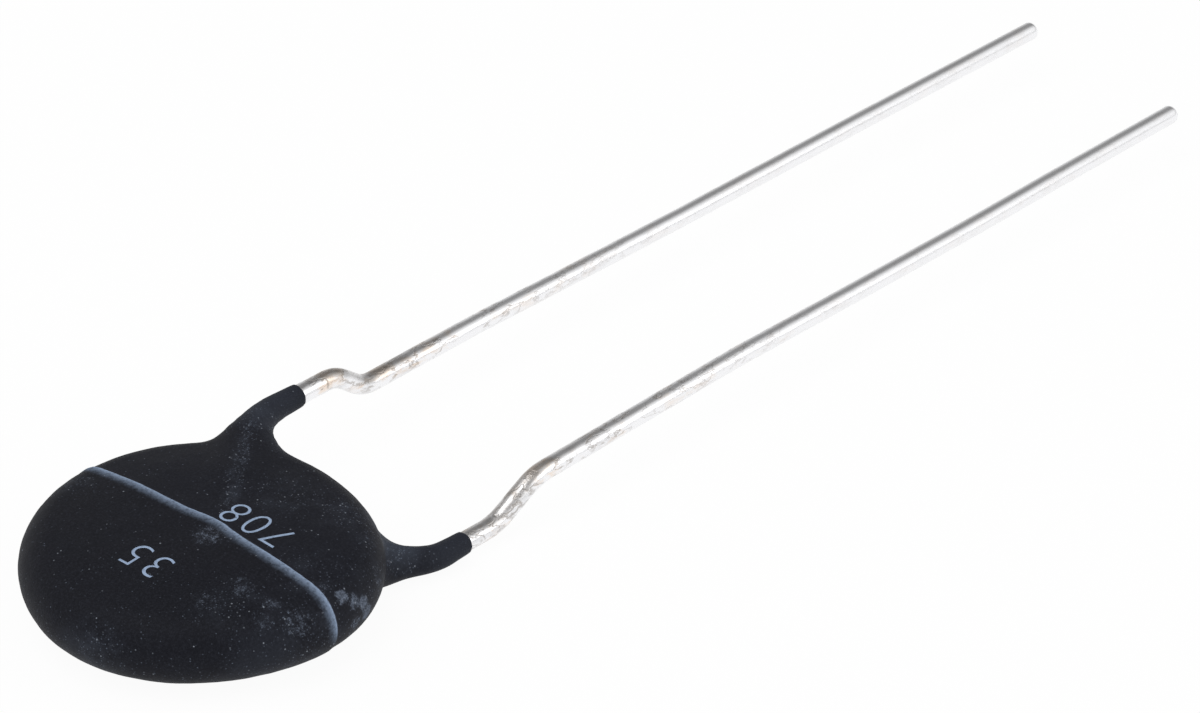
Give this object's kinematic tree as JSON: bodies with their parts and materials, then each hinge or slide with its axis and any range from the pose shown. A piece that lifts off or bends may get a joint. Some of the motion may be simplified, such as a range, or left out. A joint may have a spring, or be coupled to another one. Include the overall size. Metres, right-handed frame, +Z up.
{
  "type": "ntc thermistor",
  "caption": "Radial disc thermistor that limits inrush current: a dark dipped disc with two parallel tinned wire leads, each stepped beside the coat.",
  "frame": {"origin": "on the flat under the coat, on the disc's own axis", "axes": "+X along the straight leads, away from the disc; +Y towards the lead that leaves the upper face; +Z up, out of the upper face"},
  "size_m": [0.0493, 0.011, 0.003],
  "materials": {
    "coat": "matte",
    "ceramic": "matte",
    "silver": "satin",
    "solder": "satin",
    "tinned_wire": "satin"
  },
  "bodies": {
    "root": {"coating": "coat", "ceramic_disc": "ceramic", "upper_electrode": "silver", "lower_electrode": "silver", "upper_solder": "solder", "lower_solder": "solder", "upper_lead": "tinned_wire", "lower_lead": "tinned_wire"}
  },
  "joints": []
}
